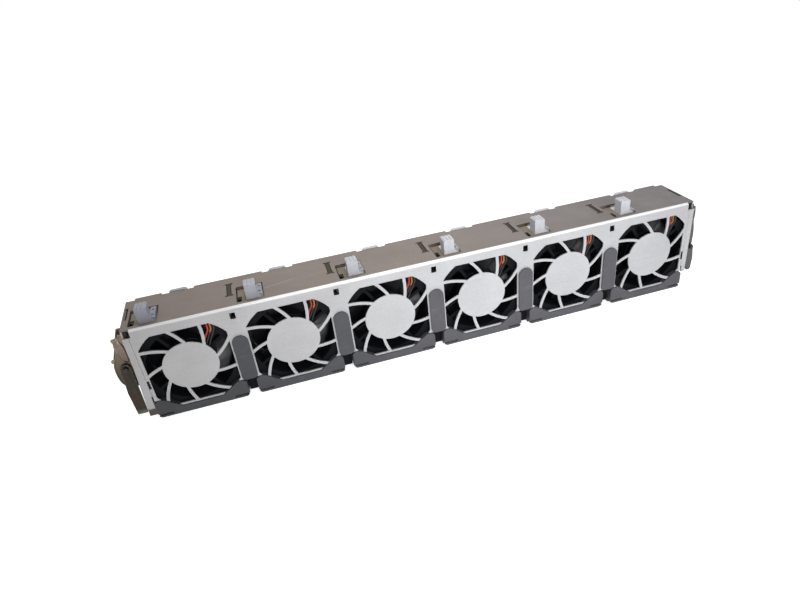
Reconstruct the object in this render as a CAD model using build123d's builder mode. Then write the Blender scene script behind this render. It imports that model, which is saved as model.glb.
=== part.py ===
from build123d import *
import os
from math import cos, degrees, radians, sin, sqrt

os.makedirs("parts", exist_ok=True)

# Fans in a row: the sizes that the bracket is drawn around
bays = 6
fan_size = 60.0
fan_depth = 38.0
bay_gap = 10.0

# Bent sheet, with the room that it leaves around the fans
sheet = 1.0
bend_r = 2.0
fan_under = 6.5
fan_over = 6.5
fan_set = 3.0
rear_set = 2.0

# Clearances
run_gap = 0.3
seat_gap = 0.1
journal_gap = 0.05

# Overall layout: front face towards -Y, open rear, floor at z = 0
pitch = fan_size + bay_gap
shell_w = bays * pitch
shell_d = fan_set + fan_depth + rear_set
shell_h = fan_under + fan_size + fan_over
y_front = -shell_d / 2
y_back = shell_d / 2
z_under = shell_h - sheet
fan_front = y_front + fan_set
fan_back = fan_front + fan_depth
fan_z = fan_under + fan_size / 2
fan_top = fan_z + fan_size / 2
end_half = shell_w / 2
bay_x = [pitch * (n - (bays - 1) / 2) for n in range(bays)]
divider_x = [pitch * (n - (bays - 2) / 2) for n in range(bays - 1)]

# Fan frame
duct_wall = 1.4
duct_r = fan_size / 2 - duct_wall
flange_t = 4.0
pocket_wall = 1.1
pocket = fan_size / 2 - (duct_r + pocket_wall) / sqrt(2)
screw_inset = 5.0
screw_spacing = fan_size - 2 * screw_inset
screw_r = 2.15

# Motor base and the bearing tube that stands on it
base_r = 16.5
base_t = 2.8
base_set = 0.2
strut_count = 4
strut_turn = 32.0
strut_t = 2.2
strut_d = 5.0
tube_r = 4.0
tube_l = 23.5
bearing_r = 3.0
bearing_l = 3.0
shaft_r = 1.45
stator_r = 12.4
stator_l = 15.0
stator_set = 4.5
slot_r = 2.6
slot_mouth = 1.6
board_r = 13.0
board_t = 1.2
base_front = fan_front + base_set
tube_front = base_front + base_t
tube_back = tube_front + tube_l

# Impeller
cup_r = 17.0
cup_wall = 1.8
cup_end_t = 2.0
cup_gap = 2.5
cup_set = 3.0
cup_round = 1.2
magnet_t = 1.8
magnet_l = 14.0
magnet_set = 3.0
boss_wall = 2.0
boss_gap = 1.5
shaft_gap = 0.3
blades = 7
tip_gap = 0.8
blade_t = 1.5
blade_chord = 29.0
blade_pitch_root = 45.0
blade_pitch_tip = 56.0
blade_root = 1.5
blade_over = 3.0
blade_r = duct_r - tip_gap
cup_front = tube_front + cup_gap
cup_back = fan_back - cup_set

# Finger guard pressed into the front sheet
guard_side = 1.5
guard_edge = 1.0
guard_bulge = 4.6
disc_over = 1.9
guard_turn = 88.6
spokes = 9
spoke_w = 2.1
spoke_lean = 30.0
spoke_r = 48.0
spoke_under = 3.35
spoke_over = 4.0
guard_w = fan_size - 2 * guard_side
guard_h = fan_size - 2 * guard_edge
guard_r = fan_size / 2 + guard_bulge
guard_disc_r = base_r + disc_over

# Carrier sleeve around the fan
side_wall = 1.5
floor_wall = 1.5
top_wall = 1.2
rear_lip = 1.5
rear_rim = 2.0
rear_bulge = 3.5
foot_w = 3.5
pull_inset = 9.0
pull_round = 1.0
rib_t = 1.5
rib_inset = 1.5
rail_t = 2.0
rail_inset = 1.0
sleeve_w = fan_size + 2 * side_wall
sleeve_top = fan_top + top_wall
sleeve_low = fan_under - floor_wall
rear_open_h = fan_size - 2 * rear_rim
rear_open_r = rear_open_h / 2 + rear_bulge

# Front lip of a carrier, shaped as a shallow U
lip_drop = 0.6
lip_rise = 8.3
lip_end = 6.0
lip_slope = 11.5
lip_proud = 0.6
lip_round = 3.0
lip_foot_round = 2.8
lip_groove = 1.5
lip_groove_l = 10.5
lip_w = sleeve_w
lip_bar = fan_under - lip_drop
lip_h = lip_bar + lip_rise
lip_shoulder = lip_w / 2 - lip_end
lip_floor = lip_shoulder - lip_slope
lip_front = y_front - lip_proud

# Divider, its front pad and its top tab
web_t = 1.5
web_inset = 0.5
web_step = 10.0
web_foot = 1.0
toe_set = 5.0
toe_gap = 0.5
rib_gap = 0.55
rail_gap = 0.7
pad_margin = 1.0
pad_drop = 22.2
pad_t = 1.2
pad_round = 3.0
neck_w = 3.0
neck_drop = 4.8
slot_core_w = 3.5
slot_core_l = 18.5
slot_end_w = 5.5
slot_end_l = 2.0
slot_inset = 8.5
hook_hole_w = 3.7
hook_hole_h = 4.8
hook_drop = 6.4
hook_set = 0.2
hook_h = 1.4
hook_void = 8.0
tab_fit = 0.2
slot_tab_side = 0.6
slot_tab_drop = 0.6
ridge_w = 5.0
ridge_t = 1.5
ridge_over = 2.0
web_low = lip_h + run_gap
rim_low = lip_bar + run_gap
web_back = y_back - web_inset
rear_face = y_back + pad_t
pad_w = pitch - guard_w - 2 * pad_margin
pad_top = shell_h - pad_drop
neck_top = pad_top - neck_drop
slot_y = y_back - slot_inset - slot_core_l / 2
hook_low = shell_h - hook_drop - hook_hole_h / 2 + tab_fit
rib_out = (pitch - sleeve_w - web_t) / 2 - rib_gap
rail_reach = sleeve_w / 2 + rail_gap

# Details of the bent sheet
relief = 5.5
edge_strip = 4.3
edge_gap = 0.2
edge_notch_w = 1.5
edge_notch_h = 7.0
edge_notch_z = 28.5
back_step_w = 6.0
back_step_d = 2.5
thumb_notch_w = 22.0
thumb_notch_d = 2.3
panel_half = end_half - edge_strip

# Receptacle that stands through a window of the top sheet
window_inset = 4.5
window_set = 5.0
window_w = 18.5
window_l = 21.5
socket_ledge = 1.0
socket_t = 1.8
deck_t = 0.7
tower_w = 7.6
tower_l = 8.6
tower_h = 10.0
tower_in = 10.5
tower_set = 7.0
tower_round = 0.6
tower_rib_w = 1.1
tower_rib_h = 0.6
tower_rib_gap = 2.4
vent_edge = 0.4
vent_w = 2.4
vent_l = 9.0
key_w = 3.4
key_l = 14.0
key_h = 2.2
key_hole_r = 0.9
window_left = window_inset - pitch / 2
window_front = y_front + window_set
window_x = window_left + window_w / 2
window_y = window_front + window_l / 2
window_back = window_front + window_l
tower_x = window_left + tower_in
tower_y = window_front + tower_set

# Leads along the front of the fan and over its top
lead_r = 0.6
lead_bend = 1.3
lead_count = 3
lead_pitch = 2.0
lead_foot = (10.0, 10.5)
lead_fan = (1.7, -1.2)
lead_rise = 17.0
lead_drop = 7.0
lead_exit_w = 8.5
lead_exit_d = 7.0
lane_pitch = 1.5
contact_w = 13.0
contact_d = 5.0
contact_h = 2.2
contact_slot = 1.4
contact_pitch = 3.2
contact_floor = 0.5
lead_y = fan_front - lead_r
lead_z = sleeve_top + lead_r
contact_y = tower_y + 2.0

# Thumb latch on top of a carrier
latch_w = 12.0
thumb_w = 13.0
thumb_d = 2.8
thumb_rise = 0.4
thumb_round = 2.4
thumb_drop = 0.4
latch_t = 1.2
latch_drop = 3.4
latch_pin_r = 1.0
latch_ear = 2.0
latch_ear_wall = 0.9
latch_short = 1.0
well_set = 2.0
well_rim = 1.5
latch_z = shell_h - latch_drop
latch_y = window_back + socket_ledge + latch_pin_r + latch_ear_wall + run_gap
thumb_top = shell_h + thumb_rise

# End plates with wing, guide pins and release lever
end_slot_w = 2.0
end_slot_l = 16.0
end_slot_y = 1.0
end_slot_in = 2.0
end_tab_drop = 0.7
end_flange_step = 19.0
end_foot_set = 6.0
strip_low = 3.5
strip_low_right = 13.5
strip_flare = 2.0
strip_flare_z = 44.0
wing_set = 2.5
wing_drop = 3.0
wing_low = 29.0
wing_reach = 11.0
wing_reach_right = 4.0
wing_base_d = 14.0
wing_base_drop = 7.0
wing_base_h = 36.0
back_leaf_set = 6.0
back_leaf_drop = 1.5
back_leaf_h = 26.0
pin_r = 1.5
pin_out = 13.0
pin_stub = 3.6
pin_chamfer = 0.6
pin_front = 6.0
pin_front_drop = 23.5
pin_rear = 1.7
pin_rear_drop = 16.5
collar_r = 2.3
collar_l = 2.0
rivet_r = 1.2
rivet_head_r = 2.2
rivet_head_t = 0.8
rivet_drop = 13.0
rivet_clear = 2.5
rivet_set = 9.5
stud_r = 1.0
stud_head = 0.8
stud_ins = (5.5, 15.5)
lever_t = 1.2
lever_gap = 0.4
lever_u = 4.0
lever_z = 44.5
lever_z_right = 34.0
lever_eye_r = 3.4
lever_eye_r_right = 2.2
lever_low = 6.6
lever_low_right = 13.0
lever_waist = 0.8
lever_flare = 1.4
lever_end = 0.4
lever_end_right = 1.8
pivot_r = 1.0
knob_r = 1.7
knob_t = 1.2
knob_round = 0.6
lever_u_right = knob_r + run_gap
end_outer = end_half
end_x = end_half - sheet
wing_face = end_outer + sheet
wing_front = y_front + wing_set
wing_top = shell_h - wing_drop
pin_at = (
    (y_front + pin_front, shell_h - pin_front_drop),
    (wing_front + wing_base_d + collar_r + pin_rear, shell_h - pin_rear_drop),
)
rib_top = fan_z + rail_t / 2 + run_gap + rib_t
rivet_zs = (rib_top + rivet_clear + rivet_head_r, shell_h - rivet_drop)
rivet_y = wing_front + rivet_set
stud_ys = [y_back - inset for inset in stud_ins]


def save(shape, name):
    shape.label = name
    export_step(shape, f"parts/{name}.step")


def upright(y):
    """Plane facing the front at depth y: sketch x is X, sketch y is Z."""
    return Plane.XZ.offset(-y)


# Curved spokes and the opening they cross
spoke_arc = CenterArc(
    (guard_disc_r - spoke_r * sin(radians(spoke_lean)), spoke_r * cos(radians(spoke_lean))),
    spoke_r,
    spoke_lean - 90 - degrees(spoke_under / spoke_r),
    degrees((spoke_under + guard_r - guard_disc_r + spoke_over) / spoke_r),
)
with BuildSketch() as guard:
    Rectangle(guard_w, guard_h)
    Circle(guard_r, mode=Mode.INTERSECT)
    Circle(guard_disc_r, mode=Mode.SUBTRACT)
    with PolarLocations(0, spokes, start_angle=guard_turn):
        SlotArc(spoke_arc, spoke_w, mode=Mode.SUBTRACT)

# Front sheet: guards, divider slots, hook holes and the bend into the top
low_edge = [(-panel_half, web_low)]
for x in bay_x:
    low_edge += [
        (x - lip_shoulder + seat_gap, web_low),
        (x - lip_floor + seat_gap, rim_low),
        (x + lip_floor - seat_gap, rim_low),
        (x + lip_shoulder - seat_gap, web_low),
    ]
low_edge += [(panel_half, web_low)]
bend_at = (y_front + bend_r, shell_h - bend_r)

with BuildPart() as front_panel:
    with BuildSketch(upright(y_front)):
        with BuildLine():
            Polyline(*low_edge, (panel_half, bend_at[1]), (-panel_half, bend_at[1]), close=True)
        make_face()
        with Locations(*[(x, fan_z) for x in bay_x]):
            add(guard.sketch, mode=Mode.SUBTRACT)
        with Locations(*[(x, shell_h - hook_drop) for x in divider_x]):
            Rectangle(hook_hole_w, hook_hole_h, mode=Mode.SUBTRACT)
        with Locations(*[(x, neck_top + seat_gap) for x in divider_x]):
            Rectangle(
                neck_w + 2 * seat_gap,
                neck_top + seat_gap - web_low,
                align=(Align.CENTER, Align.MAX),
                mode=Mode.SUBTRACT,
            )
        with Locations(*[(s * panel_half, edge_notch_z) for s in (-1, 1)]):
            Rectangle(2 * edge_notch_w, edge_notch_h, mode=Mode.SUBTRACT)
    extrude(amount=-sheet)
    with BuildSketch(Plane.YZ.offset(-end_half)):
        with BuildLine():
            outside = CenterArc(bend_at, bend_r, 90, 90)
            inside = CenterArc(bend_at, bend_r - sheet, 90, 90)
            Line(outside @ 0, inside @ 0)
            Line(outside @ 1, inside @ 1)
        make_face()
    extrude(amount=shell_w)
    with Locations(*[(s * (end_half - relief / 2), y_front, shell_h) for s in (-1, 1)]):
        Box(relief, 2 * bend_r, 2 * relief, mode=Mode.SUBTRACT)

# Top sheet: tab slots, connector windows and the notches for the thumb tabs
with BuildPart() as top_panel:
    with BuildSketch(Plane.XY.offset(shell_h)):
        with Locations((0, (bend_at[0] + y_back) / 2)):
            Rectangle(shell_w, y_back - bend_at[0])
        with Locations(*[(x, slot_y) for x in divider_x]):
            Rectangle(slot_core_w, slot_core_l, mode=Mode.SUBTRACT)
        slot_end_y = (slot_core_l - slot_end_l) / 2
        with Locations(*[(x, slot_y + s * slot_end_y) for x in divider_x for s in (-1, 1)]):
            Rectangle(slot_end_w, slot_end_l, mode=Mode.SUBTRACT)
        with Locations(*[(s * (end_half - end_slot_in), end_slot_y) for s in (-1, 1)]):
            Rectangle(end_slot_w, end_slot_l, mode=Mode.SUBTRACT)
        with Locations(*[(x + window_x, window_y) for x in bay_x]):
            Rectangle(window_w, window_l, mode=Mode.SUBTRACT)
        with Locations(*[(x, y_back) for x in bay_x]):
            Rectangle(thumb_notch_w, 2 * thumb_notch_d, mode=Mode.SUBTRACT)
        with Locations(*[(s * end_half, y_back) for s in (-1, 1)]):
            Rectangle(2 * back_step_w, 2 * back_step_d, mode=Mode.SUBTRACT)
    extrude(amount=-sheet)

# Divider: web with a rail on each side, front pad clipped over the sheet, toe, tab and hook
with BuildPart() as divider:
    with BuildSketch(Plane.YZ.offset(-web_t / 2)):
        with BuildLine():
            Polyline(
                (y_front + bend_r, z_under),
                (y_front + sheet, shell_h - bend_r),
                (y_front + sheet, web_low),
                (y_front + web_step, web_low),
                (y_front + web_step, web_foot),
                (web_back, web_foot),
                (web_back, z_under),
                close=True,
            )
        make_face()
    extrude(amount=web_t)
    with BuildSketch(upright(y_front - pad_t)):
        with Locations((0, web_low)):
            Rectangle(pad_w, pad_top - web_low - pad_w / 2, align=(Align.CENTER, Align.MIN))
        fillet(vertices().group_by(Axis.Y)[0], radius=pad_round)
        with Locations((0, pad_top - pad_w / 2)):
            Circle(pad_w / 2)
    extrude(amount=-pad_t)
    with Locations((0, y_front, web_low)):
        Box(neck_w, sheet, neck_top - web_low, align=(Align.CENTER, Align.MIN, Align.MIN))
    with Locations((0, y_front + toe_set, web_foot)):
        Box(
            pitch - lip_w - 2 * toe_gap,
            web_step - toe_set + web_t,
            web_low - web_foot,
            align=(Align.CENTER, Align.MIN, Align.MIN),
        )
    hook_top = hook_low + hook_h
    with Locations((0, y_front + hook_set, hook_low)):
        Box(
            hook_hole_w - 2 * tab_fit,
            sheet,
            hook_h,
            align=(Align.CENTER, Align.MIN, Align.MIN),
        )
    with Locations((0, y_front, hook_top)):
        Box(
            2 * web_t,
            hook_void,
            hook_low + hook_hole_h - hook_top,
            align=(Align.CENTER, Align.MIN, Align.MIN),
            mode=Mode.SUBTRACT,
        )
    with Locations((0, slot_y, z_under)):
        Box(ridge_w, slot_core_l + 2 * ridge_over, ridge_t, align=(Align.CENTER, Align.CENTER, Align.MAX))
        Box(
            slot_core_w - 2 * slot_tab_side,
            slot_core_l - 2 * tab_fit,
            sheet - slot_tab_drop,
            align=(Align.CENTER, Align.CENTER, Align.MIN),
        )
    with Locations((0, fan_front + rail_inset, fan_z)):
        Box(
            pitch - 2 * rail_reach,
            web_back - fan_front - rail_inset,
            rail_t,
            align=(Align.CENTER, Align.MIN, Align.CENTER),
        )

# Receptacle: flange under the sheet, deck in the window, tower above it
with BuildPart() as connector:
    flange_w = window_w + 2 * socket_ledge
    flange_l = window_l + 2 * socket_ledge
    with BuildSketch(Plane.XY.offset(z_under)):
        with Locations((window_x, window_y)):
            Rectangle(flange_w, flange_l)
        with Locations((window_left + vent_edge, window_back - vent_edge)):
            Rectangle(vent_l, vent_w, align=(Align.MIN, Align.MAX), mode=Mode.SUBTRACT)
        with Locations((window_left + window_w - vent_edge, window_back - vent_edge)):
            Rectangle(vent_w, vent_l, align=(Align.MAX, Align.MAX), mode=Mode.SUBTRACT)
        with Locations((window_left + vent_edge, window_front + vent_edge)):
            Rectangle(vent_w, 2 * vent_w, align=(Align.MIN, Align.MIN), mode=Mode.SUBTRACT)
    extrude(amount=-socket_t)
    with BuildSketch(Plane.XY.offset(z_under)):
        with Locations((tower_x, tower_y + (key_l - tower_l) / 2)):
            Rectangle(tower_w, key_l)
    extrude(amount=deck_t)
    with Locations((tower_x, tower_y, z_under + deck_t)):
        Box(
            tower_w,
            tower_l,
            tower_h + sheet - deck_t - tower_rib_h,
            align=(Align.CENTER, Align.CENTER, Align.MIN),
        )
    fillet(edges().filter_by(Axis.Z).group_by(Axis.Z)[-1], radius=tower_round)
    with Locations((tower_x, tower_y, shell_h + tower_h)):
        with GridLocations(tower_rib_gap, 1, 3, 1):
            Box(
                tower_rib_w,
                tower_l - 2 * tower_round,
                tower_rib_h,
                align=(Align.CENTER, Align.CENTER, Align.MAX),
            )
    key_low = tower_y - tower_l / 2
    with Locations((tower_x + tower_w / 2, key_low, z_under)):
        Box(key_w, key_l, deck_t + key_h, align=(Align.MIN, Align.MIN, Align.MIN))
    key_x = tower_x + (tower_w + key_w) / 2
    with Locations(*[(key_x, key_low + share * key_l, shell_h + key_h) for share in (0.25, 0.75)]):
        Cylinder(key_hole_r, 2 * key_h, mode=Mode.SUBTRACT)

# Carrier: sleeve around the fan, U lip at the front, feet, guide ribs and latch ears
with BuildPart() as carrier:
    sleeve_mid = (sleeve_low + sleeve_top) / 2
    with BuildSketch(upright(fan_front)):
        with Locations((0, sleeve_mid)):
            Rectangle(sleeve_w, sleeve_top - sleeve_low)
        with Locations((0, fan_z)):
            Rectangle(fan_size, fan_size, mode=Mode.SUBTRACT)
    extrude(amount=-fan_depth)
    with BuildSketch(upright(fan_back)):
        with Locations((0, sleeve_mid)):
            Rectangle(sleeve_w, sleeve_top - sleeve_low)
        with BuildSketch(mode=Mode.PRIVATE) as rear_open:
            Rectangle(rear_open_h, rear_open_h)
            Circle(rear_open_r, mode=Mode.INTERSECT)
        with Locations((0, fan_z)):
            add(rear_open.sketch, mode=Mode.SUBTRACT)
    extrude(amount=-rear_lip)
    with BuildSketch(upright(lip_front)) as lip:
        with BuildLine():
            Polyline(
                (-lip_w / 2, 0),
                (lip_w / 2, 0),
                (lip_w / 2, lip_h),
                (lip_shoulder, lip_h),
                (lip_floor, lip_bar),
                (-lip_floor, lip_bar),
                (-lip_shoulder, lip_h),
                (-lip_w / 2, lip_h),
                close=True,
            )
        make_face()
        fillet(lip.vertices().group_by(Axis.Y)[-1], radius=lip_round)
        fillet(lip.vertices().group_by(Axis.Y)[0], radius=lip_foot_round)
    extrude(amount=-(fan_front - lip_front))
    with Locations(*[(s * lip_w / 2, lip_front, lip_groove) for s in (-1, 1)]):
        Box(
            2 * lip_groove_l,
            2 * lip_groove,
            lip_groove,
            align=(Align.CENTER, Align.CENTER, Align.MIN),
            mode=Mode.SUBTRACT,
        )
    with Locations(*[(s * (sleeve_w - foot_w) / 2, fan_front, 0) for s in (-1, 1)]):
        Box(
            foot_w,
            fan_depth + rear_lip,
            sleeve_low,
            align=(Align.CENTER, Align.MIN, Align.MIN),
        )
    with Locations((0, fan_back, 0)):
        Box(
            fan_size - 2 * pull_inset,
            rear_face - fan_back,
            sleeve_low,
            align=(Align.CENTER, Align.MIN, Align.MIN),
        )
    fillet(edges().filter_by(Axis.X).sort_by(Axis.Y)[-2:], radius=pull_round)
    rib_z = (rail_t + rib_t) / 2 + run_gap
    rib_at = (sleeve_w + rib_out) / 2
    with Locations(*[(s * rib_at, fan_front + rib_inset, fan_z + t * rib_z) for s in (-1, 1) for t in (-1, 1)]):
        Box(rib_out, fan_depth - 2 * rib_inset, rib_t, align=(Align.CENTER, Align.MIN, Align.CENTER))
    ear_at = latch_w / 2 + run_gap + latch_ear / 2
    ear_top = latch_z + latch_pin_r + latch_ear_wall
    with Locations(*[(s * ear_at, latch_y, sleeve_top) for s in (-1, 1)]):
        Box(
            latch_ear,
            2 * (latch_pin_r + latch_ear_wall),
            ear_top - sleeve_top,
            align=(Align.CENTER, Align.CENTER, Align.MIN),
        )
    with Locations((0, latch_y, latch_z)):
        Cylinder(latch_pin_r + journal_gap, 3 * latch_w, rotation=(0, 90, 0), mode=Mode.SUBTRACT)
    well_low = fan_z + rear_open_h / 2 + well_rim
    with Locations((0, latch_y + well_set, well_low)):
        Box(
            thumb_w + 2 * run_gap,
            shell_d,
            sleeve_top,
            align=(Align.CENTER, Align.MIN, Align.MIN),
            mode=Mode.SUBTRACT,
        )
    with Locations((lead_rise + lead_pitch, fan_front, fan_top)):
        Box(
            lead_exit_w,
            lead_exit_d,
            4 * top_wall,
            align=(Align.CENTER, Align.CENTER, Align.CENTER),
            mode=Mode.SUBTRACT,
        )

# Fan frame: square flanges, round duct, motor base on struts and the bearing tube
with BuildPart() as housing:
    with BuildSketch(upright(fan_front)):
        with Locations((0, fan_z)):
            Rectangle(fan_size, fan_size)
            Circle(duct_r, mode=Mode.SUBTRACT)
            with GridLocations(screw_spacing, screw_spacing, 2, 2):
                Circle(screw_r, mode=Mode.SUBTRACT)
    extrude(amount=-fan_depth)
    with Locations((0, fan_front + fan_depth / 2, fan_z)):
        pocket_at = fan_size - pocket
        with Locations(*[(a * pocket_at / 2, 0, b * pocket_at / 2) for a in (-1, 1) for b in (-1, 1)]):
            Box(pocket, fan_depth - 2 * flange_t, pocket, mode=Mode.SUBTRACT)
    with BuildSketch(upright(base_front)):
        with Locations((0, fan_z)):
            Circle(base_r)
    extrude(amount=-base_t)
    with BuildSketch(upright(base_front)):
        with Locations((0, fan_z)):
            with PolarLocations((base_r + duct_r) / 2, strut_count, start_angle=strut_turn):
                Rectangle(duct_r - base_r + duct_wall / 2, strut_t)
    extrude(amount=-strut_d)
    with BuildSketch(upright(tube_front)):
        with Locations((0, fan_z)):
            Circle(tube_r)
    extrude(amount=tube_front - tube_back)
    with BuildSketch(upright(tube_front)):
        with Locations((0, fan_z)):
            Circle(bearing_r)
    extrude(amount=tube_front - tube_back, mode=Mode.SUBTRACT)

# Stator, its circuit board and the two bearings
with BuildPart() as stator:
    with BuildSketch(upright(tube_front + stator_set)):
        with Locations((0, fan_z)):
            Circle(stator_r)
            Circle(tube_r, mode=Mode.SUBTRACT)
            with PolarLocations((stator_r + tube_r) / 2, 4, start_angle=45):
                Circle(slot_r, mode=Mode.SUBTRACT)
            with PolarLocations(stator_r, 4, start_angle=45):
                Rectangle(2 * slot_r, slot_mouth, mode=Mode.SUBTRACT)
    extrude(amount=-stator_l)
with BuildPart() as board:
    with BuildSketch(upright(tube_front)):
        with Locations((0, fan_z)):
            Circle(board_r)
            Circle(tube_r, mode=Mode.SUBTRACT)
    extrude(amount=-board_t)
bearing_parts = []
for y in (tube_front, tube_back - bearing_l):
    with BuildPart() as bearing:
        with BuildSketch(upright(y)):
            with Locations((0, fan_z)):
                Circle(bearing_r)
                Circle(shaft_r + journal_gap, mode=Mode.SUBTRACT)
        extrude(amount=-bearing_l)
    bearing_parts.append(bearing.part)

# Impeller: hub cup with pitched blades, magnet ring and shaft
with BuildPart() as blade:
    for radius, turn in ((cup_r - blade_root, blade_pitch_root), (blade_r + blade_over, blade_pitch_tip)):
        root = Plane((radius, (cup_front + cup_back) / 2, fan_z), x_dir=(0, 1, 0), z_dir=(1, 0, 0))
        with BuildSketch(root):
            SlotOverall(blade_chord, blade_t, rotation=turn)
    loft()
    with Locations((0, 0, fan_z)):
        Cylinder(blade_r, 2 * shell_d, rotation=(90, 0, 0), mode=Mode.INTERSECT)
with BuildPart() as impeller:
    with BuildSketch(upright(cup_front)):
        with Locations((0, fan_z)):
            Circle(cup_r)
    extrude(amount=cup_front - cup_back)
    spin = Axis((0, 0, fan_z), (0, 1, 0))
    for n in range(blades):
        add(blade.part.rotate(spin, 360 / blades * n))
    fillet(edges().filter_by(GeomType.CIRCLE).sort_by(Axis.Y)[-1], radius=cup_round)
    with BuildSketch(upright(cup_front)):
        with Locations((0, fan_z)):
            Circle(cup_r - cup_wall)
    extrude(amount=cup_front - cup_back + cup_end_t, mode=Mode.SUBTRACT)
    boss_front = tube_back + boss_gap
    with BuildSketch(upright(boss_front)):
        with Locations((0, fan_z)):
            Circle(shaft_r + boss_wall)
            Circle(shaft_r, mode=Mode.SUBTRACT)
    extrude(amount=boss_front - cup_back + cup_end_t)
with BuildPart() as magnet:
    with BuildSketch(upright(cup_front + magnet_set)):
        with Locations((0, fan_z)):
            Circle(cup_r - cup_wall)
            Circle(cup_r - cup_wall - magnet_t, mode=Mode.SUBTRACT)
    extrude(amount=-magnet_l)
with BuildPart() as shaft:
    with BuildSketch(upright(tube_front + shaft_gap)):
        with Locations((0, fan_z)):
            Circle(shaft_r)
    extrude(amount=tube_front + shaft_gap - cup_back + cup_end_t)

# Leads: up the front of the fan, over its top edge and across to the contact block
lead_parts = []
for n in range(lead_count):
    foot_x = lead_foot[0] + lead_fan[0] * n
    foot_z = fan_z + lead_foot[1] + lead_fan[1] * n
    rise_x = lead_rise + lead_pitch * n
    lane_y = contact_y + lane_pitch * (n - 1)
    with BuildPart() as lead:
        with BuildLine() as route:
            FilletPolyline(
                (foot_x, lead_y, foot_z),
                (rise_x, lead_y, fan_top - lead_drop),
                (rise_x, lead_y, lead_z),
                (rise_x, lane_y, lead_z),
                (tower_x + contact_w / 2, lane_y, lead_z),
                radius=lead_bend,
            )
        with BuildSketch(Plane(route.wire() @ 0, z_dir=route.wire() % 0)):
            Circle(lead_r)
        sweep()
    lead_parts.append(lead.part)
with BuildPart() as contact:
    with Locations((tower_x, contact_y, sleeve_top)):
        Box(contact_w, contact_d, contact_h, align=(Align.CENTER, Align.CENTER, Align.MIN))
        with GridLocations(contact_pitch, 1, lead_count, 1):
            Box(
                contact_slot,
                2 * contact_d,
                2 * (contact_h - contact_floor),
                mode=Mode.SUBTRACT,
            )

# Thumb latch: arm on a cross pin, with the rounded tab in the notch of the top sheet
with BuildPart() as latch:
    with Locations((0, latch_y, latch_z)):
        Box(
            latch_w,
            rear_face - latch_y - latch_short,
            latch_t,
            align=(Align.CENTER, Align.MIN, Align.CENTER),
        )
        Cylinder(latch_pin_r, latch_w + 2 * (run_gap + latch_ear), rotation=(0, 90, 0))
    thumb_low = latch_z - latch_t / 2 - thumb_drop
    with BuildSketch(upright(rear_face - thumb_d)):
        with Locations((0, thumb_low)):
            Rectangle(thumb_w, thumb_top - thumb_low, align=(Align.CENTER, Align.MIN))
        fillet(vertices().group_by(Axis.Y)[-1], radius=thumb_round)
    extrude(amount=-thumb_d)

# End plates: plate, strip beside the front sheet, joggled tab in the top slot; the left strip flares at its foot
strip_top = shell_h - relief
strip_in = panel_half + edge_gap
step_in = bay_x[-1] + lip_w / 2 + run_gap
tab_x = end_half - end_slot_in
for side, strip_end, flare in (("left", strip_low, strip_flare), ("right", strip_low_right, 0)):
    with BuildPart() as end_plate:
        with BuildSketch(Plane.YZ.offset(end_x)):
            with BuildLine():
                Polyline(
                    (y_front + end_foot_set, 0),
                    (y_back, 0),
                    (y_back, z_under),
                    (y_front + bend_r, z_under),
                    (y_front + bend_r, strip_top),
                    (y_front, strip_top),
                    (y_front, strip_end),
                    (y_front + end_foot_set, strip_end),
                    close=True,
                )
            make_face()
        extrude(amount=sheet)
        with BuildSketch(upright(y_front)):
            with BuildLine():
                Polyline(
                    (end_outer + flare, strip_end),
                    (end_outer, strip_flare_z),
                    (end_outer, strip_top),
                    (strip_in, strip_top),
                    (strip_in, end_flange_step),
                    (step_in, end_flange_step),
                    (step_in, strip_end),
                    close=True,
                )
            make_face()
        extrude(amount=-sheet)
        with Locations((end_x, end_slot_y, z_under)):
            Box(
                end_x - tab_x + sheet / 2,
                end_slot_l - 2 * run_gap,
                sheet,
                align=(Align.MAX, Align.CENTER, Align.MAX),
            )
        with Locations((tab_x, end_slot_y, z_under)):
            Box(
                sheet,
                end_slot_l - 2 * run_gap,
                sheet - end_tab_drop,
                align=(Align.CENTER, Align.CENTER, Align.MIN),
            )
        with Locations(*[(end_outer, y, z) for y, z in pin_at]):
            Cylinder(pin_r, 6 * sheet, rotation=(0, 90, 0), mode=Mode.SUBTRACT)
        with Locations(*[(end_outer, rivet_y, z) for z in rivet_zs]):
            Cylinder(rivet_r, 6 * sheet, rotation=(0, 90, 0), mode=Mode.SUBTRACT)
        with Locations(*[(end_outer, y, fan_z) for y in stud_ys]):
            Cylinder(stud_r, 6 * sheet, rotation=(0, 90, 0), mode=Mode.SUBTRACT)
    plate = end_plate.part
    if side == "left":
        plate = mirror(plate, about=Plane.YZ)
    save(plate, f"{side}_end_plate")

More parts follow.
